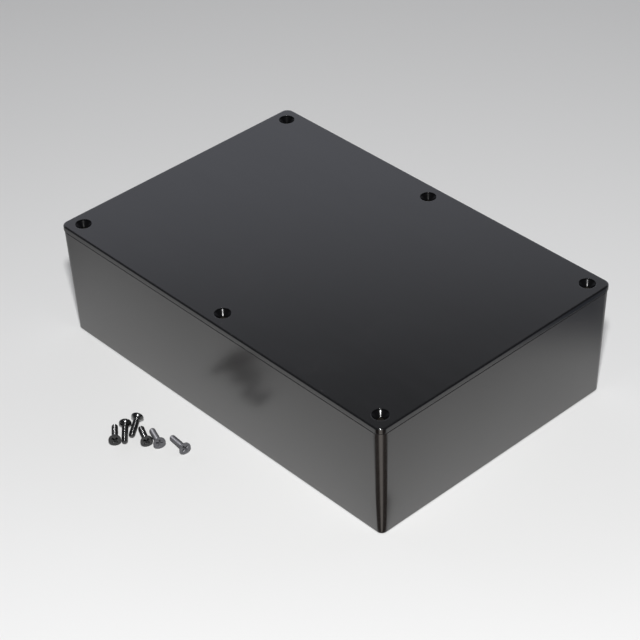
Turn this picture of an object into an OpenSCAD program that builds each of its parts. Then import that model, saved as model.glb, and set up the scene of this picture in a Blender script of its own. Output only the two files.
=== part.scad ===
// Moulded project box: a drafted base, a screwed cover, brass inserts and the loose cover screws.
// Z is up and z = 0 is the face that the box stands on. X runs along its length, Y across it.

/* [Case] */
// Outside length at the rim
case_length = 220; // [180:1:260]
// Outside width at the rim
case_width = 149; // [120:1:190]
// Height of the box with its cover on
case_height = 62; // [45:1:90]
// Thickness of the side walls
wall = 2.5; // [2:0.1:3]
// Thickness of the floor
floor_thickness = 2.5; // [2:0.1:4]
// Draft of the side walls, which narrow towards the floor
draft_angle = 2; // [0.5:0.1:2.5]
// Outside radius of the base's upright corners at the foot, which grows up the drafted walls
foot_corner = 2.8; // [2.2:0.1:4.5]
// Fillet round the edge of the underside
foot_fillet = 1.2; // [0.4:0.1:1.6]
// Inside radius of the upright corners at the floor
cavity_corner = 1.6; // [1.4:0.1:3]
// Fillet between the floor and the walls
cavity_fillet = 1; // [0.4:0.1:1.2]
// Small round on both edges of the parting line, which shows as a fine groove
parting_round = 0.4; // [0.1:0.05:0.5]

/* [Cover] */
// Thickness of the cover plate
cover_thickness = 3; // [2.6:0.1:4]
// Radius of the cover's corners, a little tighter than the base's, so that they stand out over it
cover_corner = 4; // [3:0.1:5]
// Round along the top edge of the cover
cover_round = 0.7; // [0.2:0.1:1]
// Depth of the locating lip under the cover
lip_height = 3; // [2:0.5:6]
// Thickness of the locating lip
lip_thickness = 1.6; // [1.2:0.1:2.2]
// Play between the locating lip and the inside of the walls
lip_clearance = 0.25; // [0.1:0.05:0.5]
// Play between the ends of the lip and the screw bosses
lip_end_gap = 1.5; // [0.5:0.1:3]

/* [Cover screws] */
// Distance from the rim to the middle of each screw hole
hole_inset = 8.1; // [7.5:0.1:9.5]
// Diameter of the holes through the cover
hole_diameter = 3.6; // [3.3:0.1:4]
// Diameter of the countersinks at the top of the cover
countersink_diameter = 8; // [6.8:0.1:8.2]
// Depth of the straight recess above each countersink's cone
countersink_land = 0.7; // [0.2:0.1:0.8]
// Thread diameter of the screws
thread_diameter = 3; // [2.6:0.1:3.2]
// Diameter of the screw heads
head_diameter = 6; // [5.4:0.1:6.4]
// Height of the straight rim round a screw head
head_rim = 0.3; // [0.2:0.05:0.5]
// Length of the screws, over the head
screw_length = 12.5; // [10:0.5:16]
// Chamfer at the end of the thread
tip_chamfer = 0.4; // [0.2:0.1:0.6]
// Width of the arms of the cross recess
recess_arm = 0.9; // [0.6:0.1:1]
// Span of the cross recess at the top of the head
recess_span = 3.8; // [2.8:0.1:4.2]
// Depth of the cross recess
recess_depth = 1.3; // [0.8:0.1:1.5]

/* [Bosses and inserts] */
// Diameter of the bosses that take the cover screws
boss_diameter = 9; // [8:0.1:10]
// Thickness of the webs between the bosses and the walls
web_thickness = 1.8; // [1.4:0.1:2.4]
// Outside diameter of the threaded inserts
insert_diameter = 4.8; // [4.4:0.1:5.4]
// Length of the threaded inserts
insert_length = 6; // [5:0.5:8]
// Depth and width of the waist round an insert
insert_waist = 0.3; // [0.2:0.05:0.4]
// Height of that waist
insert_waist_height = 1.4; // [1:0.1:2]
// How far an insert sits below the top of its boss
insert_recess = 2; // [0.2:0.1:2.5]
// Play round an insert
insert_clearance = 0.05; // [0.02:0.01:0.1]
// Depth of the thread, from the thread diameter in to the insert's bore
thread_depth = 0.25; // [0.2:0.05:0.35]
// Play round a screw's point in the boss, below the insert
point_clearance = 0.3; // [0.2:0.05:0.5]

/* [Circuit board fittings] */
// Distance between neighbouring card guides
guide_pitch = 25; // [18:1:40]
// Gap in a card guide, for the edge of a board
guide_slot = 1.9; // [1.7:0.1:2.6]
// Thickness of the two ribs of a card guide
guide_rib = 1.2; // [1:0.1:1.8]
// How far a card guide stands out of the wall
guide_depth = 2; // [1.5:0.1:3]
// Free height between the card guides and the lip of the cover
guide_headroom = 2; // [1:0.5:6]
// Diameter of the posts that carry a board on the floor
post_diameter = 6.5; // [5.5:0.1:8]
// Height of the posts above the floor
post_height = 6; // [4:0.5:10]
// Distance from the inside of the walls at the floor to the middle of a post
post_inset = 22; // [16:1:30]
// Diameter of the pilot hole in a post
pilot_diameter = 2.5; // [2:0.1:3]

/* [Loose screws] */
// Distance from the front of the box to the middle of the heap
heap_distance = 30; // [26:1:60]
// Place of the heap along the box, from the middle
heap_offset = -20; // [-80:1:80]
// Least play between the screws of the heap
heap_clearance = 0.5; // [0.4:0.1:2]

/* [Hidden] */

$fn = 64;
ROUND_STEPS = 6;
GRID = 0.001;
// How far a cut is carried on past the face that it opens
OVERRUN = 1;
// Span of the cross recess at its bottom, as a share of its span at the top
RECESS_FLOOR = 0.5;
PLASTIC = [0.13, 0.13, 0.14];
BRASS = [0.78, 0.62, 0.3];
BLACK_STEEL = [0.06, 0.06, 0.07];

base_height = case_height - cover_thickness;
slope = tan(draft_angle);
boss_radius = boss_diameter / 2;
thread_radius = thread_diameter / 2;
head_radius = head_diameter / 2;
insert_bore = thread_radius - thread_depth;
boss_x = case_length / 2 - hole_inset;
boss_y = case_width / 2 - hole_inset;
boss_spots = [for (x = [-1, 0, 1], y = [-1, 1]) [x * boss_x, y * boss_y]];
post_x = inside_reach(case_length, floor_thickness) - post_inset;
post_y = inside_reach(case_width, floor_thickness) - post_inset;
guide_top = base_height - lip_height - guide_headroom;

// Each loose screw: where its head lies, in steps of heap_step from the middle of the heap,
// which way its point faces, and how far it has rolled.
heap_step = max(screw_length, 2 * head_diameter + heap_clearance, 4 * thread_diameter + heap_clearance);
SCREW_SPOTS = [
    [-0.27, -0.98, 142, 45],
    [-0.78, -0.07, -41, 20],
    [-0.73, 0.48, -53, 70],
    [0.62, -0.18, 154, 40],
    [1.04, 0.09, 158, 15],
    [1.95, 0.56, 171, 60]
];

// Half of a size of the box at the rim, less the wall, at height z.
function inside_reach(size, z) = size / 2 - wall - (base_height - z) * slope;

// A size kept to a thousandth of a millimetre, so that neighbouring faces meet exactly.
function on_grid(size) = round(size / GRID) * GRID;

// Points of a round from one direction to another, or the corner itself if it has no radius.
function round_points(middle, radius, from, to) = [
    for (step = [0 : radius > 0 ? ROUND_STEPS : 0])
        let (angle = from + (to - from) * step / ROUND_STEPS)
            [on_grid(middle.x + radius * cos(angle)), on_grid(middle.y + radius * sin(angle))]
];

// Side of a drafted block, from its foot to its rim, as distances out from the corner's axis.
function side_points(reach, height, lean, foot, rim) =
    let (angle = atan(lean), back = 1 / cos(angle))
        concat(
            round_points([reach + foot * (lean - back), foot], foot, -90, -angle),
            round_points([reach + (height - rim) * lean - rim * back, height - rim], rim, -angle, 90)
        );

// Straight run of a drafted block along X, between two corner axes.
module block_run(half_length, half_width, side) {
    last = len(side) - 1;
    rotate([90, 0, 90])
        linear_extrude(2 * half_length, center = true)
            polygon(concat(
                [for (point = side) [half_width + point.x, point.y]],
                [for (i = [last : -1 : 0]) [-half_width - side[i].x, side[i].y]]
            ));
}

// Block on z = 0 whose sides lean outwards as they rise. Length, width and corner are those of its foot.
module drafted_block(length, width, height, lean, corner, foot, rim) {
    side = side_points(corner, height, lean, foot, rim);
    axis_x = on_grid(length / 2 - corner);
    axis_y = on_grid(width / 2 - corner);
    block_run(axis_x, axis_y, side);
    rotate(90) block_run(axis_y, axis_x, side);
    for (turn = [0, 180])
        rotate(turn) {
            translate([axis_x, axis_y]) block_corner(side, height);
            translate([-axis_x, axis_y]) rotate(90) block_corner(side, height);
        }
}

module block_corner(side, height) {
    rotate_extrude(angle = 90) polygon(concat([[0, 0]], side, [[0, height]]));
}

module base_outside() {
    drafted_block(
        case_length - 2 * base_height * slope, case_width - 2 * base_height * slope,
        base_height, slope, foot_corner, foot_fillet, parting_round
    );
}

// Inside of the walls, carried on above the rim so that it cuts clean through.
module cavity() {
    translate([0, 0, floor_thickness])
        drafted_block(
            2 * inside_reach(case_length, floor_thickness), 2 * inside_reach(case_width, floor_thickness),
            base_height - floor_thickness + cover_thickness, slope, cavity_corner, cavity_fillet, 0
        );
}

// Boss with webs to the walls behind it, from the floor to the rim.
module boss(spot) {
    translate([spot.x, spot.y]) {
        cylinder(d = boss_diameter, h = base_height);
        web(spot.y > 0 ? 90 : -90);
        if (spot.x != 0)
            web(spot.x > 0 ? 0 : 180);
    }
}

module web(heading) {
    rotate(heading)
        translate([0, -web_thickness / 2])
            cube([hole_inset, web_thickness, base_height]);
}

// Stepped hole down a boss: the insert's seat, and room below it for the screw's point.
module boss_hole(spot) {
    seat = base_height - insert_recess - insert_length;
    translate([spot.x, spot.y, seat])
        cylinder(d = insert_diameter + 2 * insert_clearance, h = insert_length + cover_thickness);
    translate([spot.x, spot.y, base_height - screw_length])
        cylinder(r = thread_radius + point_clearance, h = screw_length);
}

// Pair of upright ribs on the inside of the wall at +Y, for a box of this size across that wall.
module card_guide(size) {
    foot_face = inside_reach(size, 0);
    top_face = inside_reach(size, guide_top);
    for (side = [-1, 1])
        translate([side * (guide_slot + guide_rib) / 2, 0])
            rotate([90, 0, 90])
                linear_extrude(guide_rib, center = true)
                    polygon([
                        [foot_face - guide_depth, 0], [foot_face + wall / 2, 0],
                        [top_face + wall / 2, guide_top], [top_face - guide_depth, guide_top]
                    ]);
}

// Card guides in rows along all four walls, clear of the bosses.
module card_guides() {
    room = boss_radius + guide_pitch / 2;
    for (turn = [0, 180], side = [-1, 1], x = [guide_pitch : guide_pitch : boss_x - room])
        rotate(turn) translate([side * x, 0]) card_guide(case_width);
    half_row = floor((boss_y - room) / guide_pitch);
    for (turn = [90, 270], i = [-half_row : half_row])
        rotate(turn) translate([i * guide_pitch, 0]) card_guide(case_length);
}

module at_posts() {
    for (x = [-1, 1], y = [-1, 1])
        translate([x * post_x, y * post_y, floor_thickness]) children();
}

// One moulding: walls, floor, bosses, card guides and board posts.
module base() {
    color(PLASTIC)
        difference() {
            base_outside();
            difference() {
                cavity();
                for (spot = boss_spots) boss(spot);
                card_guides();
                at_posts() cylinder(d = post_diameter, h = post_height);
            }
            for (spot = boss_spots) boss_hole(spot);
            at_posts() cylinder(d = pilot_diameter, h = post_height + floor_thickness);
        }
}

// Bar of the locating lip along the wall that faces +Y, from one end to the other along X.
module lip_bar(size, from, to) {
    face = inside_reach(size, base_height) - lip_clearance;
    translate([from, 0])
        rotate([90, 0, 90])
            linear_extrude(to - from)
                polygon([
                    [face, base_height], [face, base_height + cover_thickness / 2],
                    [face - lip_thickness, base_height + cover_thickness / 2],
                    [face - lip_thickness, base_height - lip_height],
                    [face - lip_height * slope, base_height - lip_height]
                ]);
}

// The lip is broken where the bosses stand.
module locating_lip() {
    gap = boss_radius + lip_end_gap;
    for (turn = [0, 180])
        rotate(turn) {
            lip_bar(case_width, gap, boss_x - gap);
            lip_bar(case_width, gap - boss_x, -gap);
            rotate(90) lip_bar(case_length, gap - boss_y, boss_y - gap);
        }
}

module cover() {
    cone_height = (countersink_diameter - hole_diameter) / 2;
    cone_top = cover_thickness - countersink_land;
    color(PLASTIC)
        difference() {
            union() {
                translate([0, 0, base_height])
                    drafted_block(
                        case_length, case_width, cover_thickness, 0, cover_corner, parting_round, cover_round
                    );
                locating_lip();
            }
            for (spot = boss_spots)
                translate([spot.x, spot.y, base_height]) {
                    cylinder(d = hole_diameter, h = 2 * cover_thickness, center = true);
                    translate([0, 0, cone_top - cone_height])
                        cylinder(d1 = hole_diameter, d2 = countersink_diameter, h = cone_height);
                    translate([0, 0, cone_top])
                        cylinder(d = countersink_diameter, h = cover_thickness);
                }
        }
}

// Brass sleeve, standing on z = 0, with a waist between its two bands.
module threaded_insert() {
    outside = insert_diameter / 2;
    waist_low = (insert_length - insert_waist_height) / 2;
    waist_high = waist_low + insert_waist_height;
    rotate_extrude()
        polygon([
            [insert_bore, 0], [outside - insert_waist, 0], [outside, insert_waist],
            [outside, waist_low - insert_waist], [outside - insert_waist, waist_low],
            [outside - insert_waist, waist_high], [outside, waist_high + insert_waist],
            [outside, insert_length], [insert_bore, insert_length]
        ]);
}

module threaded_inserts() {
    color(BRASS)
        for (spot = boss_spots)
            translate([spot.x, spot.y, base_height - insert_recess - insert_length])
                threaded_insert();
}

// Cross whose arms get shorter towards the bottom of the recess, cut down from z = 0 towards +Z.
module cross_recess() {
    taper = recess_span * (1 - RECESS_FLOOR) / recess_depth;
    cut = recess_depth + OVERRUN;
    intersection() {
        translate([0, 0, -OVERRUN])
            cylinder(d1 = recess_span + taper * OVERRUN, d2 = recess_span * RECESS_FLOOR, h = cut);
        for (turn = [0, 90])
            rotate(turn)
                translate([0, 0, cut / 2 - OVERRUN])
                    cube([2 * recess_span, recess_arm, cut], center = true);
    }
}

// Countersunk machine screw whose head is flush with z = 0 and whose point faces +Z.
module machine_screw() {
    neck = head_rim + head_radius - thread_radius;
    difference() {
        rotate_extrude()
            polygon([
                [0, 0], [head_radius, 0], [head_radius, head_rim], [thread_radius, neck],
                [thread_radius, screw_length - tip_chamfer],
                [thread_radius - tip_chamfer, screw_length], [0, screw_length]
            ]);
        cross_recess();
    }
}

// A screw as it lies on the ground: on the rim of its head and on the end of its thread.
module lying_screw(heading, roll) {
    rest = atan((head_radius - thread_radius) / (screw_length - tip_chamfer - head_rim));
    translate([0, 0, head_radius * cos(rest) + head_rim * sin(rest)])
        rotate([0, 0, heading])
            rotate([0, 90 + rest, 0])
                rotate(roll) machine_screw();
}

module cover_screws() {
    color(BLACK_STEEL)
        translate([heap_offset, -case_width / 2 - heap_distance])
            for (spot = SCREW_SPOTS)
                translate([spot.x, spot.y] * heap_step)
                    lying_screw(spot[2], spot[3]);
}

base();
cover();
threaded_inserts();
cover_screws();
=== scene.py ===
"""Dresses the plastic project box: its base, cover, loose cover screws and threaded inserts, and its stage."""

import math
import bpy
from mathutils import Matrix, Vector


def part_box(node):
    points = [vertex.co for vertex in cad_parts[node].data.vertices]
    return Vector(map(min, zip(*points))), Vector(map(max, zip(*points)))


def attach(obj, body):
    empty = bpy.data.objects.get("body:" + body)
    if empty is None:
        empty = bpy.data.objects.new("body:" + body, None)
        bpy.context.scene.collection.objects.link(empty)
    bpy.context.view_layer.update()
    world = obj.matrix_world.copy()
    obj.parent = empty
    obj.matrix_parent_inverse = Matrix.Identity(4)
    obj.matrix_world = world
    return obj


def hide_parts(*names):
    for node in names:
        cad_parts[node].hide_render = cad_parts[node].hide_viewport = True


bl_info = {
    "name": "Plastic Project Box",
    "version": (1, 0, 0),
    "blender": (4, 5, 0),
    "location": "View3D > Sidebar > Project Box",
    "description": "Finishes a moulded project box, its cover screws and its threaded inserts",
    "category": "Object",
}

import bmesh
import bpy
from bpy.props import FloatProperty, FloatVectorProperty, IntProperty, PointerProperty
from mathutils import Matrix, Quaternion, Vector

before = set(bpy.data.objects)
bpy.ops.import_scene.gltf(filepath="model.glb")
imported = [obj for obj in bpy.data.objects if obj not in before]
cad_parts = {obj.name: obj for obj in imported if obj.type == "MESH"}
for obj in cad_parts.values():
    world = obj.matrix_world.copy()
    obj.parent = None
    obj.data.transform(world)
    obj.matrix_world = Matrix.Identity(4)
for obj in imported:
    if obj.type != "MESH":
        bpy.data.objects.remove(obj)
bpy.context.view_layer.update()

BASE_LOW, BASE_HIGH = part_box("base")
COVER_LOW, COVER_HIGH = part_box("cover")
BODY = "root"
MM = 0.001
DRAFT = math.radians(2)  # the base's walls lean in towards the foot by this angle
PAINTED_FALLOFF_NEAR = 55 * MM  # how far out from the box the painted light falloff dims the mirrored paper quickly
PAINTED_FALLOFF_FAR = 200 * MM  # and how far out the painted light falloff goes on dimming it
FOOT_BACK = 4 * MM  # how far the foot of the nearest corner stands back from the cover's corner
TABLE_SPREAD = 25 * MM  # how far to each side the mirrored table's edge runs straight
RIGHT_START = 0.205  # x + y where the mirrored floor starts to go dark on the right
RIGHT_FADE = 70 * MM
RIGHT_SIDE = 35 * MM
SAME_RADIUS = 0.02 * MM  # points this near in radius are on the same cylinder
ROUND_STEPS = 48  # sides of a screw or an insert


# ---------------------------------------------------------------- node graphs


class Signal:
    """A value on its way from one node to the next, which Python's operators work on."""

    def __init__(self, graph, socket):
        self.graph = graph
        self.socket = socket

    def __add__(self, other):
        return self.graph.maths("ADD", self, other)

    __radd__ = __add__

    def __sub__(self, other):
        return self.graph.maths("SUBTRACT", self, other)

    def __rsub__(self, other):
        return self.graph.maths("SUBTRACT", other, self)

    def __mul__(self, other):
        return self.graph.maths("MULTIPLY", self, other)

    __rmul__ = __mul__

    def __truediv__(self, other):
        return self.graph.maths("DIVIDE", self, other)

    def __abs__(self):
        return self.graph.maths("ABSOLUTE", self)

    def __neg__(self):
        return self.graph.maths("MULTIPLY", self, -1.0)

    def least(self, other):
        """The smaller of this and other."""
        return self.graph.maths("MINIMUM", self, other)

    def most(self, other):
        """The larger of this and other."""
        return self.graph.maths("MAXIMUM", self, other)

    def step(self, start, end):
        """0 before start and 1 after end, with a smooth rise between. It falls if start is the larger."""
        if start > end:
            return 1 - self.step(end, start)
        return self.graph.node(
            "ShaderNodeMapRange",
            {"interpolation_type": "SMOOTHSTEP", "clamp": True},
            {"Value": self, "From Min": start, "From Max": end},
        )

    def between(self, low, high, soft):
        """1 from low to high, with an edge of width soft outside each."""
        return self.step(low - soft, low) * self.step(high + soft, high)


class Graph:
    """Adds nodes to a node tree and joins them up."""

    def __init__(self, tree):
        self.tree = tree

    def node(self, kind, settings=None, values=None, output=0):
        """Adds a node: its type, its settings, and the values or links of its sockets."""
        made = self.tree.nodes.new(kind)
        for name, value in (settings or {}).items():
            setattr(made, name, value)
        for name, value in (values or {}).items():
            if isinstance(value, Signal):
                self.tree.links.new(value.socket, made.inputs[name])
            else:
                made.inputs[name].default_value = value
        return Signal(self, made.outputs[output]) if made.outputs else made

    def maths(self, operation, *values):
        return self.node("ShaderNodeMath", {"operation": operation}, dict(enumerate(values)))

    def vector(self, operation, first, second=None, output=0):
        values = {0: first} if second is None else {0: first, 1: second}
        return self.node("ShaderNodeVectorMath", {"operation": operation}, values, output)

    def join(self, x, y, z):
        return self.node("ShaderNodeCombineXYZ", None, {"X": x, "Y": y, "Z": z})

    def axes(self, vector):
        """The x, y and z of a vector, as three signals."""
        split = self.node("ShaderNodeSeparateXYZ", None, {0: vector})
        return tuple(Signal(self, s) for s in split.socket.node.outputs)

    def blend(self, factor, first, second):
        """first where factor is 0 and second where it is 1, as a colour."""
        return self.node(
            "ShaderNodeMix",
            {"data_type": "RGBA", "blend_type": "MIX", "clamp_factor": True},
            {0: factor, 6: _solid(first), 7: _solid(second)},
            output=2,
        )

    def shade(self, colour, amount):
        """colour made lighter or darker: times amount."""
        return self.node(
            "ShaderNodeVectorMath", {"operation": "SCALE"}, {0: colour, "Scale": amount}
        )

    def noise(self, place, scale, detail=2.0, roughness=0.5):
        """Cloudy noise from 0 to 1, with scale features to the metre."""
        values = {"Vector": place, "Scale": scale, "Detail": detail, "Roughness": roughness}
        return self.node("ShaderNodeTexNoise", None, values)

    def cells(self, place, scale):
        """Distance to the nearest of scattered spots, with scale spots to the metre."""
        return self.node(
            "ShaderNodeTexVoronoi",
            {"feature": "F1"},
            {"Vector": place, "Scale": scale, "Randomness": 1.0},
            "Distance",
        )

    def stretched(self, place, turn=0.0, scale=(1.0, 1.0, 1.0)):
        """place turned about Z and stretched, for a pattern that runs one way."""
        return self.node(
            "ShaderNodeMapping",
            {"vector_type": "POINT"},
            {"Vector": place, "Rotation": (0.0, 0.0, turn), "Scale": scale},
        )

    def bump(self, height, strength, distance, normal=None):
        """The surface's normal, tilted by height, a signal from 0 to 1 that stands for distance metres."""
        values = {"Height": height, "Strength": strength, "Distance": distance}
        if normal is not None:
            values["Normal"] = normal
        return self.node("ShaderNodeBump", None, values)


def _solid(colour):
    """A plain colour as the four numbers that a colour socket holds, and a signal as it is."""
    return colour if isinstance(colour, Signal) else (*colour, 1.0)


def new_material(name):
    """An empty node material and its graph, with the Object coordinates of the piece."""
    material = bpy.data.materials.new(name)
    material.use_nodes = True
    material.node_tree.nodes.clear()
    graph = Graph(material.node_tree)
    place = graph.node("ShaderNodeTexCoord", output="Object")
    return material, graph, place


def principled(graph, **sockets):
    """A Principled surface with these sockets."""
    return graph.node(
        "ShaderNodeBsdfPrincipled", None, {k.replace("_", " "): v for k, v in sockets.items()}
    )


def finish_surface(graph, **sockets):
    """A Principled surface with these sockets, joined to the material's output."""
    graph.node("ShaderNodeOutputMaterial", None, {"Surface": principled(graph, **sockets)})


# ------------------------------------------------------------------ materials


def base_plastic(look):
    """Black moulded plastic with a fine spark-eroded grain, faint flow marks, and rubbed corners and rims."""
    material, g, place = new_material("base_plastic")
    x, y, z = g.axes(place)
    lean = (BASE_HIGH.z - z) * math.tan(DRAFT)
    inside_x = BASE_HIGH.x - lean - abs(x)
    inside_y = BASE_HIGH.y - lean - abs(y)
    from_corner = inside_x.most(inside_y)
    from_rim = (BASE_HIGH.z - z).least(z + 0.2 * MM)

    clouds = g.noise(place, 22.0, 3.0, 0.55)
    flow = g.noise(g.stretched(place, 0.0, (1.0, 1.0, 0.25)), 60.0, 4.0, 0.6)
    grain = g.noise(place, 2600.0, 2.0, 0.6)
    pits = g.cells(place, 1500.0)
    scuff = g.noise(place, 420.0, 5.0, 0.65)

    at_corner = from_corner.step(3.2 * MM, 0.4 * MM)
    at_rim = from_rim.step(1.6 * MM, 0.1 * MM)
    rubbed = (at_corner.most(at_rim) * scuff.step(0.42, 0.68)) * look.wear
    smear = clouds.step(0.35, 0.75)

    tone = 0.9 + 0.2 * smear + 0.08 * (flow - 0.5)
    plain = g.shade(look.base_colour, tone)
    worn = g.shade(look.base_colour, 1.9)
    colour = g.blend(rubbed * 0.6, plain, worn)
    roughness = look.base_roughness + 0.05 * (flow - 0.5) + 0.06 * (grain - 0.5) - 0.06 * rubbed
    texture = g.bump(grain * 0.6 + pits * 0.4, look.grain_strength, look.grain_depth)
    waves = g.bump(clouds, 0.12, 0.25 * MM, texture)
    finish_surface(
        g,
        Base_Color=colour,
        Roughness=roughness,
        IOR=look.base_ior,
        Normal=waves,
    )
    return material


def cover_plastic(look):
    """Smooth satin black plastic with a cool cast, wipe marks, hairlines and specks of dust on its top.

    A second, darker and far less reflective plastic stands in for it inside the screw holes, as painted shade
    that keeps them black.
    """
    material, g, place = new_material("cover_plastic")
    x, y, z = g.axes(place)
    inside = (COVER_HIGH.x - abs(x)).least(COVER_HIGH.y - abs(y))
    on_top = z.step(COVER_HIGH.z - 0.2 * MM, COVER_HIGH.z - 0.02 * MM)

    clouds = g.noise(place, 14.0, 3.0, 0.5)
    wiped = g.noise(g.stretched(place, 0.5, (0.25, 1.6, 1.0)), 90.0, 4.0, 0.6)
    grain = g.noise(place, 3200.0, 2.0, 0.55)
    scuff = g.noise(place, 500.0, 5.0, 0.65)
    specks = g.cells(place, 160.0).step(0.075, 0.03) * g.noise(place, 45.0, 2.0, 0.5).step(0.5, 0.62)
    hair = g.noise(g.stretched(place, 1.05, (6.0, 0.22, 1.0)), 260.0, 1.0, 0.4)
    hairline = hair.between(0.497, 0.503, 0.004) * g.noise(place, 30.0, 1.0, 0.5).step(0.56, 0.7)

    rubbed = inside.step(1.1 * MM, 0.1 * MM) * scuff.step(0.45, 0.7) * look.wear
    dust = (specks * 0.5 * look.dust + hairline * 0.3 * look.dust) * on_top
    tone = 0.92 + 0.16 * clouds + 0.06 * (wiped - 0.5)
    plain = g.shade(look.cover_colour, tone)
    worn = g.shade(look.cover_colour, 2.2)
    colour = g.blend(rubbed * 0.5, plain, worn)
    colour = g.blend(dust * 0.35, colour, (0.30, 0.29, 0.27))
    roughness = (
        look.cover_roughness + 0.04 * (wiped - 0.5) + 0.03 * (clouds - 0.5) + 0.04 * rubbed + 0.25 * dust
    )
    rounded = g.node("ShaderNodeBevel", {"samples": 4}, {"Radius": 0.4 * MM})
    texture = g.bump(grain, 0.10, 0.012 * MM, rounded)
    waves = g.bump(clouds, 0.10, 0.2 * MM, texture)
    skin = principled(
        g, Base_Color=colour, Roughness=roughness, IOR=look.cover_ior, Normal=waves
    )
    # painted shade: a darker, far less reflective plastic inside the screw holes keeps them black
    cut = principled(
        g, Base_Color=_solid(look.hole_shade_colour), Roughness=look.cut_roughness, IOR=look.hole_shade_ior
    )
    in_hole = z.step(COVER_HIGH.z - 0.01 * MM, COVER_HIGH.z - 0.05 * MM) * inside.step(2 * MM, 3 * MM)
    mixed = g.node("ShaderNodeMixShader", None, {0: in_hole, 1: skin, 2: cut})
    g.node("ShaderNodeOutputMaterial", None, {"Surface": mixed})
    return material


def blackened_steel(look):
    """Black oxide over steel: glossy, or dull and grey where the dullness attribute says so.

    It is darker and rougher where the recess attribute is set: the darkening is painted shade in the cross
    recess.
    """
    material, g, place = new_material("screw_steel")
    dull = g.node(
        "ShaderNodeAttribute",
        {"attribute_type": "GEOMETRY", "attribute_name": "dullness"},
        output="Fac",
    )
    recess = g.node(
        "ShaderNodeAttribute",
        {"attribute_type": "GEOMETRY", "attribute_name": "recess"},
        output="Fac",
    ).step(0.0, 0.5)
    bloom = g.noise(place, 900.0, 4.0, 0.6)
    streak = g.noise(place, 2600.0, 3.0, 0.6)
    patch = bloom.step(0.35, 0.75)
    glossy = g.blend(patch, look.screw_colour, [c * 1.5 for c in look.screw_colour])
    grey = g.blend(patch, look.grey_screw_colour, [c * 1.35 for c in look.grey_screw_colour])
    # painted shade: the colour darkens in the cross recess, less so on the grey screws
    colour = g.shade(g.blend(dull, glossy, grey), 1 - (0.75 - 0.35 * dull) * recess)
    roughness = look.screw_roughness + 0.10 * patch + 0.20 * dull + 0.25 * recess
    texture = g.bump(streak, 0.25, 0.01 * MM)
    finish_surface(
        g,
        Base_Color=colour,
        Roughness=roughness,
        Metallic=0.85 - 0.25 * dull,
        Coat_Weight=(0.9 - 0.85 * dull) * (1 - recess),
        Coat_Roughness=0.13,
        Normal=texture,
    )
    return material


def turned_brass(look):
    """Machined brass with fine turning lines, a cloudy tarnish, and painted shade at its top end, which keeps
    the brass seen through the cover's holes dark.
    """
    material, g, place = new_material("insert_brass")
    _x, _y, z = g.axes(place)
    rings = g.noise(g.join(0.0, 0.0, z), 9000.0, 2.0, 0.5)
    tarnish = g.noise(place, 700.0, 4.0, 0.6).step(0.35, 0.8)
    dark = [c * 0.55 for c in look.brass_colour]
    # painted shade: the top end is darkened to a deep brown so the brass seen through the cover's holes stays
    # dark
    shade_brown = [c * 0.06 for c in look.brass_colour]
    shaded_top = z.step(BASE_HIGH.z - 3 * MM, BASE_HIGH.z - 2.2 * MM)
    colour = g.blend(tarnish * 0.6, look.brass_colour, dark)
    colour = g.blend(shaded_top, colour, shade_brown)
    roughness = 0.24 + 0.18 * tarnish + 0.08 * (rings - 0.5) + 0.3 * shaded_top
    finish_surface(
        g,
        Base_Color=colour,
        Roughness=roughness,
        Metallic=1.0,
        Normal=g.bump(rings, 0.3, 0.01 * MM),
    )
    return material


# -------------------------------------------------------------- mesh building


def revolved(name, outline, closed=False):
    """A closed solid of revolution about Z. outline is (radius, height) from end to end, in metres."""
    mesh = bpy.data.meshes.new(name)
    bm = bmesh.new()
    rings = []
    for radius, height in outline:
        if radius < 1e-9:
            rings.append([bm.verts.new((0, 0, height))] * ROUND_STEPS)
            continue
        ring = []
        for i in range(ROUND_STEPS):
            angle = 2 * math.pi * i / ROUND_STEPS
            ring.append(bm.verts.new((radius * math.cos(angle), radius * math.sin(angle), height)))
        rings.append(ring)
    pairs = list(zip(rings, rings[1:] + rings[:1] if closed else rings[1:]))
    for low, high in pairs:
        for i in range(ROUND_STEPS):
            j = (i + 1) % ROUND_STEPS
            corners = []
            for corner in (low[i], low[j], high[j], high[i]):
                if corner not in corners:
                    corners.append(corner)
            if len(corners) > 2:
                bm.faces.new(corners)
    bmesh.ops.recalc_face_normals(bm, faces=bm.faces)
    bm.to_mesh(mesh)
    bm.free()
    return mesh


def islands(node):
    """The solids of a CAD node, as (corner points, the direction that the largest flat face looks in)."""
    bm = bmesh.new()
    bm.from_mesh(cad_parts[node].data)
    bmesh.ops.remove_doubles(bm, verts=bm.verts, dist=0.5e-6)
    left = set(bm.verts)
    solids = []
    while left:
        found = [left.pop()]
        faces = set()
        for vert in found:
            faces.update(vert.link_faces)
            for edge in vert.link_edges:
                other = edge.other_vert(vert)
                if other in left:
                    left.remove(other)
                    found.append(other)
        areas = {}
        for face in faces:
            way = tuple(round(c, 3) for c in face.normal)
            areas[way] = areas.get(way, 0.0) + face.calc_area()
        solids.append(([v.co.copy() for v in found], Vector(max(areas, key=areas.get)).normalized()))
    bm.free()
    return sorted(solids, key=lambda solid: min(p.x for p in solid[0]))


def placed_points(name, places):
    """A mesh of one point for each place, with its turn and its dullness as attributes."""
    mesh = bpy.data.meshes.new(name)
    mesh.from_pydata([p["at"] for p in places], [], [])
    for field, kind in (("turn", "QUATERNION"), ("dullness", "FLOAT")):
        layer = mesh.attributes.new(field, kind, "POINT")
        for spot, entry in zip(places, layer.data):
            entry.value = spot[field]
    piece = bpy.data.objects.new(name, mesh)
    bpy.context.scene.collection.objects.link(piece)
    return piece


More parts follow.
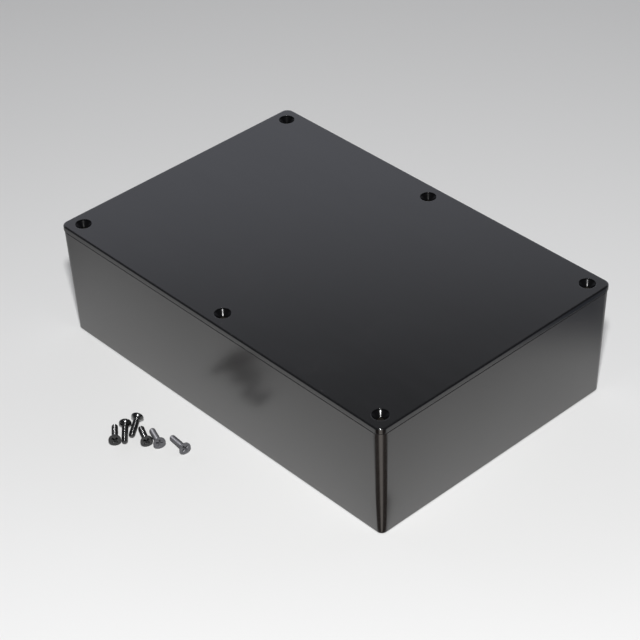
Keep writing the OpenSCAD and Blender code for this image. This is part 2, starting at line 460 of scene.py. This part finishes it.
def settle(piece, modifier):
    """Makes the modifier's result the piece's own plain mesh, and takes the modifier away."""
    bpy.context.view_layer.update()
    depsgraph = bpy.context.evaluated_depsgraph_get()
    result = bpy.data.meshes.new_from_object(piece.evaluated_get(depsgraph))
    piece.modifiers.remove(modifier)
    piece.data = result
    return piece


def check(piece, faces):
    """Stops an operator whose piece came out empty or with the wrong number of faces."""
    if len(piece.data.polygons) < faces:
        raise RuntimeError(f"{piece.name} came out with {len(piece.data.polygons)} faces")


# ------------------------------------------------------------- geometry trees


class Recipe(Graph):
    """A Geometry Nodes tree with named inputs, which a modifier sets by their identifiers."""

    def __init__(self, name):
        super().__init__(bpy.data.node_groups.new(name, "GeometryNodeTree"))
        self.names = {}
        self.tree.interface.new_socket(
            name="Geometry", in_out="OUTPUT", socket_type="NodeSocketGeometry"
        )
        self.inputs = self.tree.nodes.new("NodeGroupInput")
        self.given("Geometry", "NodeSocketGeometry")

    def given(self, name, kind="NodeSocketFloat", default=None):
        """Adds a named input and returns its signal."""
        socket = self.tree.interface.new_socket(name=name, in_out="INPUT", socket_type=kind)
        if default is not None:
            socket.default_value = default
        self.names[name] = socket.identifier
        return Signal(self, self.inputs.outputs[name])

    def apply(self, piece, **values):
        """Runs the tree on the piece, with these inputs, and keeps the result as its mesh."""
        modifier = piece.modifiers.new(self.tree.name, "NODES")
        modifier.node_group = self.tree
        for name, value in values.items():
            modifier[self.names[name.replace("_", " ")]] = value
        return settle(piece, modifier)

    def helix(self, place, pitch):
        """How far up its thread form a point is, from 0 in the root to 1 on the crest, about Z."""
        x, y, z = self.axes(place)
        turn = self.maths("ARCTAN2", y, x) / (2 * math.pi)
        phase = self.maths("FRACT", z / pitch - turn)
        ridge = 1 - abs(2 * phase - 1)
        return self.node(
            "ShaderNodeMapRange",
            {"clamp": True},
            {"Value": ridge, "From Min": 0.18, "From Max": 0.86},
        )

    def outward(self, place):
        """The unit vector from the Z axis to a point."""
        x, y, _z = self.axes(place)
        return self.vector("NORMALIZE", self.join(x, y, 0.0))

    def repeat(self, points, blank, material):
        """Puts the blank at each point, turned as the point says, as plain geometry with its material."""
        turn = self.node(
            "GeometryNodeInputNamedAttribute", {"data_type": "QUATERNION"}, {"Name": "turn"}
        )
        copies = self.node(
            "GeometryNodeInstanceOnPoints",
            None,
            {"Points": points, "Instance": blank, "Rotation": turn},
        )
        solid = self.node("GeometryNodeRealizeInstances", None, {"Geometry": copies})
        smooth = self.node("GeometryNodeSetShadeSmooth", None, {"Geometry": solid})
        coated = self.node(
            "GeometryNodeSetMaterial", None, {"Geometry": smooth, "Material": material}
        )
        self.node("NodeGroupOutput", None, {"Geometry": coated})


def screw_recipe():
    """Cuts a helical thread into a smooth screw blank and lays a copy of it at each point."""
    r = Recipe("thread_and_lay_screws")
    blank = r.given("Blank", "NodeSocketObject")
    pitch = r.given("Pitch", default=0.5 * MM)
    depth = r.given("Thread depth", default=0.27 * MM)
    start = r.given("Thread start", default=2.0 * MM)
    end = r.given("Thread end", default=12.0 * MM)
    reach = r.given("Shank radius", default=1.23 * MM)
    span = r.given("Recess radius", default=1.9 * MM)
    floor = r.given("Recess floor", default=1.4 * MM)
    material = r.given("Material", "NodeSocketMaterial")
    points = Signal(r, r.inputs.outputs["Geometry"])

    place = r.node("GeometryNodeInputPosition")
    x, y, z = r.axes(place)
    radius = r.vector("LENGTH", r.join(x, y, 0.0), output="Value")
    fade_in = r.node(
        "ShaderNodeMapRange", {"clamp": True}, {"Value": (z - start) / pitch, "From Max": 1.5}
    )
    fade_out = r.node(
        "ShaderNodeMapRange", {"clamp": True}, {"Value": (end - z) / pitch, "From Max": 0.8}
    )
    on_shank = r.maths("COMPARE", radius, reach, SAME_RADIUS)
    rise = r.helix(place, pitch) * depth * fade_in * fade_out * on_shank
    push = r.node("ShaderNodeVectorMath", {"operation": "SCALE"}, {0: r.outward(place), "Scale": rise})
    shape = r.node("GeometryNodeObjectInfo", None, {"Object": blank}, output="Geometry")
    threaded = r.node("GeometryNodeSetPosition", None, {"Geometry": shape, "Offset": push})
    deep = r.maths("LESS_THAN", radius, span) * r.maths("GREATER_THAN", z, 0.1 * MM)
    in_recess = deep * r.maths("LESS_THAN", z, floor)
    # the recess attribute marks the cross recess, where the steel material paints shade
    marked = r.node(
        "GeometryNodeStoreNamedAttribute",
        {"data_type": "FLOAT", "domain": "POINT"},
        {"Geometry": threaded, "Name": "recess", "Value": in_recess},
    )
    r.repeat(points, marked, material)
    return r


def insert_recipe():
    """Knurls the outside of an insert blank, threads its bore, and puts a copy of it at each point."""
    r = Recipe("knurl_and_set_inserts")
    blank = r.given("Blank", "NodeSocketObject")
    teeth = r.given("Teeth", default=26.0)
    knurl = r.given("Knurl depth", default=0.16 * MM)
    pitch = r.given("Pitch", default=0.5 * MM)
    depth = r.given("Thread depth", default=0.24 * MM)
    outside = r.given("Outside radius", default=2.4 * MM)
    bore = r.given("Bore radius", default=1.25 * MM)
    material = r.given("Material", "NodeSocketMaterial")
    points = Signal(r, r.inputs.outputs["Geometry"])

    place = r.node("GeometryNodeInputPosition")
    x, y, _z = r.axes(place)
    radius = r.vector("LENGTH", r.join(x, y, 0.0), output="Value")
    angle = r.maths("ARCTAN2", y, x)
    on_outside = r.maths("COMPARE", radius, outside, SAME_RADIUS)
    on_bore = r.maths("COMPARE", radius, bore, SAME_RADIUS)
    groove = (0.5 - 0.5 * r.maths("COSINE", angle * teeth)) * knurl * on_outside
    cut = (1 - r.helix(place, pitch)) * depth * on_bore
    push = r.node(
        "ShaderNodeVectorMath", {"operation": "SCALE"}, {0: r.outward(place), "Scale": cut - groove}
    )
    shape = r.node("GeometryNodeObjectInfo", None, {"Object": blank}, output="Geometry")
    cut_shape = r.node("GeometryNodeSetPosition", None, {"Geometry": shape, "Offset": push})
    r.repeat(points, cut_shape, material)
    return r


# --------------------------------------------------------------- cover screws


def screw_place(points, flat):
    """The middle of a screw's flat head, its axis towards its end, its length and its head's radius."""
    axis = -flat
    level = min(p.dot(axis) for p in points)
    side = axis.orthogonal().normalized()
    up = axis.cross(side)
    head = axis * level
    for way in (side, up):
        across = [p.dot(way) for p in points if p.dot(axis) < level + 0.05 * MM]
        head += way * (max(across) + min(across)) / 2
    length = max(p.dot(axis) for p in points) - level
    radius = max((p - head).cross(axis).length for p in points)
    return head, axis, length, radius


class LooksSettings(bpy.types.PropertyGroup):
    """Colours and finishes of the box and its fittings."""

    base_colour: FloatVectorProperty(
        name="Base colour",
        description="Colour of the moulded base",
        subtype="COLOR",
        size=3,
        min=0.0,
        max=1.0,
        default=(0.017, 0.016, 0.016),
    )
    cover_colour: FloatVectorProperty(
        name="Cover colour",
        description="Colour of the moulded cover",
        subtype="COLOR",
        size=3,
        min=0.0,
        max=1.0,
        default=(0.0055, 0.0056, 0.0062),
    )
    # painted shade for the insides of the cover's screw holes
    hole_shade_colour: FloatVectorProperty(
        name="Hole colour",
        description="Colour of the plastic inside the cover's screw holes",
        subtype="COLOR",
        size=3,
        min=0.0,
        max=1.0,
        default=(0.004, 0.004, 0.0045),
    )
    screw_colour: FloatVectorProperty(
        name="Screw colour",
        description="Colour of the glossy black screws",
        subtype="COLOR",
        size=3,
        min=0.0,
        max=1.0,
        default=(0.045, 0.045, 0.046),
    )
    # a lighter grey, rougher finish that the last two screws get in place of the black
    grey_screw_colour: FloatVectorProperty(
        name="Dull screw colour",
        description="Colour of the screws whose black finish has gone dull",
        subtype="COLOR",
        size=3,
        min=0.0,
        max=1.0,
        default=(0.13, 0.13, 0.14),
    )
    brass_colour: FloatVectorProperty(
        name="Brass colour",
        description="Colour of the threaded inserts",
        subtype="COLOR",
        size=3,
        min=0.0,
        max=1.0,
        default=(0.72, 0.53, 0.23),
    )
    base_roughness: FloatProperty(
        name="Base roughness",
        description="How dull the base's moulded grain is",
        subtype="FACTOR",
        min=0.0,
        max=1.0,
        default=0.23,
    )
    cover_roughness: FloatProperty(
        name="Cover roughness",
        description="How dull the cover's satin surface is",
        subtype="FACTOR",
        min=0.0,
        max=1.0,
        default=0.16,
    )
    cut_roughness: FloatProperty(
        name="Hole roughness",
        description="How dull the plastic is inside the cover's screw holes",
        subtype="FACTOR",
        min=0.0,
        max=1.0,
        default=0.16,
    )
    screw_roughness: FloatProperty(
        name="Screw roughness",
        description="How dull the glossy screws are",
        subtype="FACTOR",
        min=0.0,
        max=1.0,
        default=0.22,
    )
    base_ior: FloatProperty(
        name="Base reflectivity",
        description="Index of refraction of the base's skin",
        min=1.0,
        max=3.0,
        default=1.85,
    )
    cover_ior: FloatProperty(
        name="Cover reflectivity",
        description="Index of refraction of the cover's skin",
        min=1.0,
        max=3.0,
        default=1.85,
    )
    # kept low as painted shade, so the screw holes reflect little
    hole_shade_ior: FloatProperty(
        name="Hole reflectivity",
        description="Index of refraction of the plastic inside the cover's screw holes",
        min=1.0,
        max=3.0,
        default=1.24,
    )
    grain_strength: FloatProperty(
        name="Grain strength",
        description="How strongly the moulded grain shows",
        subtype="FACTOR",
        min=0.0,
        max=1.0,
        default=0.25,
    )
    grain_depth: FloatProperty(
        name="Grain depth",
        description="Depth of the moulded grain",
        subtype="DISTANCE",
        unit="LENGTH",
        min=0.0,
        default=0.02 * MM,
    )
    wear: FloatProperty(
        name="Wear",
        description="How much the edges are rubbed",
        subtype="FACTOR",
        min=0.0,
        max=1.0,
        default=0.5,
    )
    dust: FloatProperty(
        name="Dust",
        description="How much dust and how many hairlines lie on the cover",
        subtype="FACTOR",
        min=0.0,
        max=1.0,
        default=0.6,
    )


class FittingSizes(bpy.types.PropertyGroup):
    """Sizes of the screws' and the inserts' fine detail."""

    pitch: FloatProperty(
        name="Thread pitch",
        description="Height of one turn of the thread",
        subtype="DISTANCE",
        unit="LENGTH",
        default=0.5 * MM,
    )
    thread_depth: FloatProperty(
        name="Thread depth",
        description="From the thread's root to its crest",
        subtype="DISTANCE",
        unit="LENGTH",
        default=0.27 * MM,
    )
    thread_radius: FloatProperty(
        name="Thread radius",
        description="Outside radius of the screw thread",
        subtype="DISTANCE",
        unit="LENGTH",
        default=1.5 * MM,
    )
    head_rim: FloatProperty(
        name="Head rim",
        description="Height of the straight rim under the head's flat top",
        subtype="DISTANCE",
        unit="LENGTH",
        default=0.3 * MM,
    )
    edge_round: FloatProperty(
        name="Edge rounding",
        description="Radius of the rounding on the head's rim",
        subtype="DISTANCE",
        unit="LENGTH",
        default=0.1 * MM,
    )
    tip_chamfer: FloatProperty(
        name="Tip chamfer",
        description="Length of the cone at the screw's end",
        subtype="DISTANCE",
        unit="LENGTH",
        default=0.4 * MM,
    )
    recess_span: FloatProperty(
        name="Recess span",
        description="Size of the cross recess across its arms",
        subtype="DISTANCE",
        unit="LENGTH",
        default=3.8 * MM,
    )
    recess_arm: FloatProperty(
        name="Recess arm",
        description="Width of an arm of the cross recess",
        subtype="DISTANCE",
        unit="LENGTH",
        default=0.9 * MM,
    )
    recess_depth: FloatProperty(
        name="Recess depth",
        description="Depth of the cross recess",
        subtype="DISTANCE",
        unit="LENGTH",
        default=1.3 * MM,
    )
    knurl_teeth: IntProperty(
        name="Knurl teeth",
        description="Number of teeth round an insert",
        min=6,
        default=24,
    )
    knurl_depth: FloatProperty(
        name="Knurl depth",
        description="Depth of the grooves between the teeth",
        subtype="DISTANCE",
        unit="LENGTH",
        default=0.16 * MM,
    )


class StageSettings(bpy.types.PropertyGroup):
    """The camera, the floor and the lights."""

    azimuth: FloatProperty(
        name="Camera azimuth",
        description="Direction that the camera looks from, round the box",
        subtype="ANGLE",
        unit="ROTATION",
        default=math.radians(47.958),
    )
    elevation: FloatProperty(
        name="Camera elevation",
        description="Height of the camera above the horizon",
        subtype="ANGLE",
        unit="ROTATION",
        default=math.radians(37.033),
    )
    roll: FloatProperty(
        name="Camera roll",
        description="Tilt of the camera about its own axis",
        subtype="ANGLE",
        unit="ROTATION",
        default=math.radians(1.976),
    )
    distance: FloatProperty(
        name="Camera distance",
        description="From the camera to the point that it looks at",
        subtype="DISTANCE",
        unit="LENGTH",
        default=1.01059,
    )
    aim: FloatVectorProperty(
        name="Aim",
        description="The point that the camera looks at",
        subtype="XYZ",
        unit="LENGTH",
        size=3,
        default=(0.00350, -0.01039, 0.030),
    )
    lens: FloatProperty(
        name="Lens",
        description="Focal length in millimetres on a 36 mm wide sensor",
        default=119.63,
    )
    floor_colour: FloatVectorProperty(
        name="Floor colour",
        description="Colour of the pale floor",
        subtype="COLOR",
        size=3,
        min=0.0,
        max=1.0,
        default=(0.80, 0.80, 0.795),
    )
    key_power: FloatProperty(
        name="Key light",
        description="Power of the lamp beside the camera, in watts",
        default=18.5,
    )
    sky_low: FloatProperty(
        name="Backdrop light",
        description="Brightness of the pale backdrop low behind the box",
        default=0.63,
    )
    sky_tint: FloatVectorProperty(
        name="Backdrop tint",
        description="Colour of the backdrop's light",
        subtype="COLOR",
        size=3,
        min=0.0,
        max=2.0,
        default=(0.95, 0.975, 1.09),
    )
    sky_high: FloatProperty(
        name="Room light",
        description="Brightness of the dim room above",
        default=0.07,
    )


def screw_outline(sizes, length, head_radius):
    """The screw's side view, from the middle of its head's top to that of its end, as (radius, height)."""
    root = sizes.thread_radius - sizes.thread_depth
    neck = sizes.head_rim + head_radius - sizes.thread_radius
    edge = sizes.edge_round
    outline = [(0.0, 0.0), (head_radius * 0.35, 0.0), (head_radius * 0.7, 0.0)]
    for step in range(5):
        angle = math.pi / 2 * step / 4
        outline.append(
            (head_radius - edge * (1 - math.sin(angle)), edge * (1 - math.cos(angle)))
        )
    outline += [(head_radius, sizes.head_rim)]
    outline += [(sizes.thread_radius, neck), (root, neck + 0.2 * MM)]
    start, end = neck + 0.2 * MM, length - sizes.tip_chamfer
    rows = round((end - start) / (sizes.pitch / 9))
    outline += [(root, start + (end - start) * row / rows) for row in range(1, rows + 1)]
    outline += [(root - 0.25 * MM, length), (0.0, length)]
    return outline, start, end


def cross_cutter(sizes):
    """The shape that the cross recess takes out of a screw head: four arms that narrow towards the bottom."""
    wide, arm, deep = sizes.recess_span / 2, sizes.recess_arm / 2, sizes.recess_depth
    levels = [
        (-0.4 * MM, wide * 1.16, arm * 1.08),
        (0.0, wide, arm),
        (deep * 0.7, wide * 0.52, arm * 0.9),
        (deep, arm * 0.8, arm * 0.5),
    ]
    mesh = bpy.data.meshes.new("cross_cutter")
    bm = bmesh.new()
    rings = []
    for height, reach, half in levels:
        reach = max(reach, half * 1.05)
        corner = [(reach, -half), (reach, half), (half, half)]
        ring = []
        for quarter in range(4):
            turn = Matrix.Rotation(quarter * math.pi / 2, 3, "Z")
            ring += [bm.verts.new(turn @ Vector((x, y, height))) for x, y in corner]
        rings.append(ring)
    for low, high in zip(rings, rings[1:]):
        for i in range(12):
            j = (i + 1) % 12
            bm.faces.new((low[i], low[j], high[j], high[i]))
    bm.faces.new(rings[0])
    bm.faces.new(rings[-1])
    bmesh.ops.recalc_face_normals(bm, faces=bm.faces)
    bm.to_mesh(mesh)
    bm.free()
    return mesh


def as_object(name, mesh):
    piece = bpy.data.objects.new(name, mesh)
    bpy.context.scene.collection.objects.link(piece)
    return piece


def arm_direction(points, head, axis, sizes):
    """The direction of one arm of the cross recess, from the ends of its arms in the head's top."""
    side = axis.orthogonal().normalized()
    up = axis.cross(side)
    total = complex(0, 0)
    for p in points:
        out = p - head
        level, radius = out.dot(axis), out.cross(axis).length
        if abs(level) < 0.02 * MM and 0.3 * sizes.recess_span < radius < 0.8 * sizes.recess_span:
            angle = math.atan2(out.dot(up), out.dot(side))
            total += complex(math.cos(4 * angle), math.sin(4 * angle))
    turn = math.atan2(total.imag, total.real) / 4
    return side * math.cos(turn) + up * math.sin(turn)


def build_screws(sizes, looks):
    """The six loose cover screws, as one mesh that stands for the CAD node."""
    places = []
    solids = islands("cover_screws")
    for number, (points, flat) in enumerate(solids):
        head, axis, length, head_radius = screw_place(points, flat)
        arm = arm_direction(points, head, axis, sizes)
        turned = Matrix((arm, axis.cross(arm), axis)).transposed().to_quaternion()
        # the last two screws along x get the lighter grey, rougher finish
        dull = 1.0 if number >= len(solids) - 2 else 0.0
        places.append({"at": head, "turn": turned, "dullness": dull})
    outline, start, end = screw_outline(sizes, length, head_radius)
    blank = as_object("screw_blank", revolved("screw_blank", outline))
    cutter = as_object("cross_cutter", cross_cutter(sizes))
    cut = blank.modifiers.new("cross_recess", "BOOLEAN")
    cut.operation, cut.solver, cut.object = "DIFFERENCE", "EXACT", cutter
    settle(blank, cut)
    bpy.data.objects.remove(cutter)
    screws = placed_points("loose_cover_screws", places)
    screw_recipe().apply(
        screws,
        Blank=blank,
        Pitch=sizes.pitch,
        Thread_depth=sizes.thread_depth,
        Thread_start=start,
        Thread_end=end,
        Shank_radius=sizes.thread_radius - sizes.thread_depth,
        Recess_radius=sizes.recess_span / 2,
        Recess_floor=sizes.recess_depth + 0.1 * MM,
        Material=blackened_steel(looks),
    )
    bpy.data.objects.remove(blank)
    return screws


def build_inserts(sizes, looks):
    """The six brass inserts in their bosses, as one mesh that stands for the CAD node."""
    places = []
    for points, _flat in islands("threaded_inserts"):
        low = Vector(min(p[i] for p in points) for i in range(3))
        high = Vector(max(p[i] for p in points) for i in range(3))
        middle = (low + high) / 2
        places.append(
            {"at": (middle.x, middle.y, low.z), "turn": Quaternion(), "dullness": 0.0}
        )
    outside = (high.x - low.x) / 2
    bore = min((p - middle).to_2d().length for p in points)
    height = high.z - low.z
    levels = sorted({round((p.z - low.z) / MM, 3) * MM for p in points})
    at_level = {
        level: max((p - middle).to_2d().length for p in points if abs(p.z - low.z - level) < 2e-6)
        for level in levels
    }
    outline = []
    for level, above in zip(levels, levels[1:] + [None]):
        outline.append((at_level[level], level))
        if above is None:
            continue
        for row in range(1, 4):
            share = row / 4
            radius = at_level[level] * (1 - share) + at_level[above] * share
            outline.append((radius, level * (1 - share) + above * share))
    rows = round(height / (sizes.pitch / 8))
    outline += [(bore, height * (1 - row / rows)) for row in range(rows + 1)]
    blank = as_object("insert_blank", revolved("insert_blank", outline, closed=True))
    inserts = placed_points("knurled_inserts", places)
    insert_recipe().apply(
        inserts,
        Blank=blank,
        Teeth=float(sizes.knurl_teeth),
        Knurl_depth=sizes.knurl_depth,
        Pitch=sizes.pitch,
        Thread_depth=sizes.thread_depth * 0.9,
        Outside_radius=outside,
        Bore_radius=bore,
        Material=turned_brass(looks),
    )
    bpy.data.objects.remove(blank)
    return inserts


# ---------------------------------------------------------------------- stage


def build_camera(stage):
    """The camera, placed by its azimuth, elevation and roll about the point that it looks at."""
    back = Vector(
        (
            math.sin(stage.azimuth) * math.cos(stage.elevation),
            -math.cos(stage.azimuth) * math.cos(stage.elevation),
            math.sin(stage.elevation),
        )
    )
    lens = bpy.data.cameras.new("camera")
    lens.lens, lens.sensor_width = stage.lens, 36.0
    lens.clip_start, lens.clip_end = 0.01, 50.0
    camera = as_object("camera", lens)
    turn = (-back).to_track_quat("-Z", "Y") @ Quaternion((0, 0, 1), -stage.roll)
    camera.rotation_mode = "QUATERNION"
    camera.rotation_quaternion = turn
    camera.location = Vector(stage.aim) + back * stage.distance
    bpy.context.scene.camera = camera
    return back


def floor_material(stage, toward):
    """A floor that is plain and pale where the camera sees it directly.

    To every other ray it is paper with a painted light falloff, brightest next to the box and dimming away
    from it, a dark table in front of the nearest corner with a pale strip down its middle that paints a
    highlight stripe into the corner's reflection, and a dark area to the right.
    """
    material, g, place = new_material("pale_floor")
    x, y, _z = g.axes(place)
    corner = Vector((COVER_HIGH.x, COVER_LOW.y))
    ahead = (x - corner.x) * toward.x + (y - corner.y) * toward.y
    aside = (y - corner.y) * toward.x - (x - corner.x) * toward.y
    out = abs(aside)
    from_foot = ahead + FOOT_BACK
    # painted highlight: a pale strip down the middle of the mirrored table, which shows as a lighter stripe on
    # the box's nearest corner
    outside_highlight_strip = (out / from_foot.most(0.1 * MM)).step(0.25, 0.5)
    edge = (out - TABLE_SPREAD).most(0.0) * 0.7
    table = (from_foot - edge).step(-2 * MM, 1 * MM)
    dark = g.blend(outside_highlight_strip, (0.75, 0.68, 0.62), (0.035, 0.020, 0.012))
    off_paper = (x + y - RIGHT_START).step(0.0, RIGHT_FADE) * (x - y).step(0.0, RIGHT_SIDE)
    seen = g.node("ShaderNodeLightPath", output="Is Camera Ray")
    mottle = g.noise(place, 3.0, 3.0, 0.5)
    paper = g.shade(stage.floor_colour, 0.985 + 0.03 * mottle)
    away = (abs(x) - COVER_HIGH.x).most(abs(y) - COVER_HIGH.y)
    # painted light falloff: the mirrored paper is lit brightest next to the box and dims away from it
    near, far = away / PAINTED_FALLOFF_NEAR, away.step(PAINTED_FALLOFF_NEAR, PAINTED_FALLOFF_FAR)
    near = g.node("ShaderNodeClamp", None, {"Value": near})
    mirrored = g.shade(paper, (1.1 - 0.45 * near) * (1 - 0.8 * far))
    mirrored = g.blend(table, mirrored, dark)
    mirrored = g.blend(off_paper, mirrored, (0.10, 0.11, 0.135))
    finish_surface(g, Base_Color=g.blend(seen, mirrored, paper), Roughness=0.9, IOR=1.2)
    return material


def build_floor(stage, toward):
    mesh = bpy.data.meshes.new("pale_floor")
    half, drop = 4.0, -0.02 * MM
    corners = [(-half, -half, drop), (half, -half, drop), (half, half, drop), (-half, half, drop)]
    mesh.from_pydata(corners, [], [(0, 1, 2, 3)])
    mesh.materials.append(floor_material(stage, toward))
    floor = as_object("pale_floor", mesh)
    return floor


def build_world(stage, toward):
    """A pale backdrop low behind the box that fades into a dim room above, and a dimmer room in front."""
    world = bpy.data.worlds.new("studio")
    world.use_nodes = True
    world.node_tree.nodes.clear()
    g = Graph(world.node_tree)
    direction = g.vector("NORMALIZE", g.node("ShaderNodeTexCoord", output="Generated"))
    x, y, z = g.axes(direction)
    behind = (-(x * toward.x + y * toward.y)).step(-0.1, 0.7)
    low = z.step(0.63, 0.55)
    light = (stage.sky_high + (stage.sky_low - stage.sky_high) * low) * (0.06 + 0.94 * behind)
    colour = g.blend(low, (1.0, 1.0, 1.0), stage.sky_tint)
    background = g.node("ShaderNodeBackground", None, {"Color": colour, "Strength": light})
    g.node("ShaderNodeOutputWorld", None, {"Surface": background})
    bpy.context.scene.world = world


def build_lamp(name, toward, elevation, distance, size, power, target):
    """A soft square lamp that shines on target."""
    lamp = bpy.data.lights.new(name, "AREA")
    lamp.shape, lamp.size, lamp.energy = "SQUARE", size, power
    holder = as_object(name, lamp)
    flat = toward.to_2d().normalized()
    way = Vector((flat.x * math.cos(elevation), flat.y * math.cos(elevation), math.sin(elevation)))
    holder.location = target + way * distance
    holder.rotation_mode = "QUATERNION"
    holder.rotation_quaternion = (-way).to_track_quat("-Z", "Y")
    return holder


# ------------------------------------------------------------------ operators


class PROJECTBOX_OT_base(bpy.types.Operator):
    """Gives the moulded base its grained black plastic"""

    bl_idname = "projectbox.dress_base"
    bl_label = "Dress Base"

    def execute(self, context):
        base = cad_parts["base"]
        base.data.materials.clear()
        base.data.materials.append(base_plastic(context.scene.projectbox_looks))
        return {"FINISHED"}


class PROJECTBOX_OT_cover(bpy.types.Operator):
    """Gives the cover its satin black plastic"""

    bl_idname = "projectbox.dress_cover"
    bl_label = "Dress Cover"

    def execute(self, context):
        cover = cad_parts["cover"]
        cover.data.materials.clear()
        cover.data.materials.append(cover_plastic(context.scene.projectbox_looks))
        return {"FINISHED"}


class PROJECTBOX_OT_screws(bpy.types.Operator):
    """Makes the loose cover screws with their threads and cross recesses"""

    bl_idname = "projectbox.make_screws"
    bl_label = "Make Cover Screws"

    def execute(self, context):
        scene = context.scene
        screws = build_screws(scene.projectbox_fittings, scene.projectbox_looks)
        check(screws, 1000)
        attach(screws, BODY)
        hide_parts("cover_screws")
        return {"FINISHED"}


class PROJECTBOX_OT_inserts(bpy.types.Operator):
    """Makes the knurled brass inserts in the bosses"""

    bl_idname = "projectbox.make_inserts"
    bl_label = "Make Inserts"

    def execute(self, context):
        scene = context.scene
        inserts = build_inserts(scene.projectbox_fittings, scene.projectbox_looks)
        check(inserts, 1000)
        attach(inserts, BODY)
        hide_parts("threaded_inserts")
        return {"FINISHED"}


class PROJECTBOX_OT_stage(bpy.types.Operator):
    """Sets up the camera, the pale floor and the soft studio light"""

    bl_idname = "projectbox.set_stage"
    bl_label = "Set Stage"

    def execute(self, context):
        stage = context.scene.projectbox_stage
        context.scene.view_settings.view_transform = "Standard"
        toward = build_camera(stage)
        flat = toward.to_2d().normalized()
        build_floor(stage, flat)
        build_world(stage, flat)
        build_lamp(
            "key_lamp", toward, math.radians(50), 1.3, 0.10, stage.key_power, Vector((0, 0, 0.03))
        )
        return {"FINISHED"}


class PROJECTBOX_PT_panel(bpy.types.Panel):
    """Lists the project box's settings and the steps that make it"""

    bl_idname = "PROJECTBOX_PT_panel"
    bl_label = "Project Box"
    bl_space_type = "VIEW_3D"
    bl_region_type = "UI"
    bl_category = "Project Box"

    def draw(self, context):
        for step in STEPS:
            self.layout.operator(step.bl_idname)
        for name, group in SETTINGS.items():
            settings = getattr(context.scene, name)
            column = self.layout.column(align=True)
            for prop in group.__annotations__:
                column.prop(settings, prop)


SETTINGS = {
    "projectbox_looks": LooksSettings,
    "projectbox_fittings": FittingSizes,
    "projectbox_stage": StageSettings,
}
STEPS = (
    PROJECTBOX_OT_stage,
    PROJECTBOX_OT_base,
    PROJECTBOX_OT_cover,
    PROJECTBOX_OT_screws,
    PROJECTBOX_OT_inserts,
)
CLASSES = (*SETTINGS.values(), *STEPS, PROJECTBOX_PT_panel)


def register():
    for cls in CLASSES:
        bpy.utils.register_class(cls)
    for name, group in SETTINGS.items():
        setattr(bpy.types.Scene, name, PointerProperty(type=group))


def unregister():
    for name in SETTINGS:
        delattr(bpy.types.Scene, name)
    for cls in reversed(CLASSES):
        bpy.utils.unregister_class(cls)


def main():
    register()
    bpy.ops.projectbox.set_stage()
    bpy.ops.projectbox.dress_base()
    bpy.ops.projectbox.dress_cover()
    bpy.ops.projectbox.make_screws()
    bpy.ops.projectbox.make_inserts()


if __name__ == "__main__":
    main()
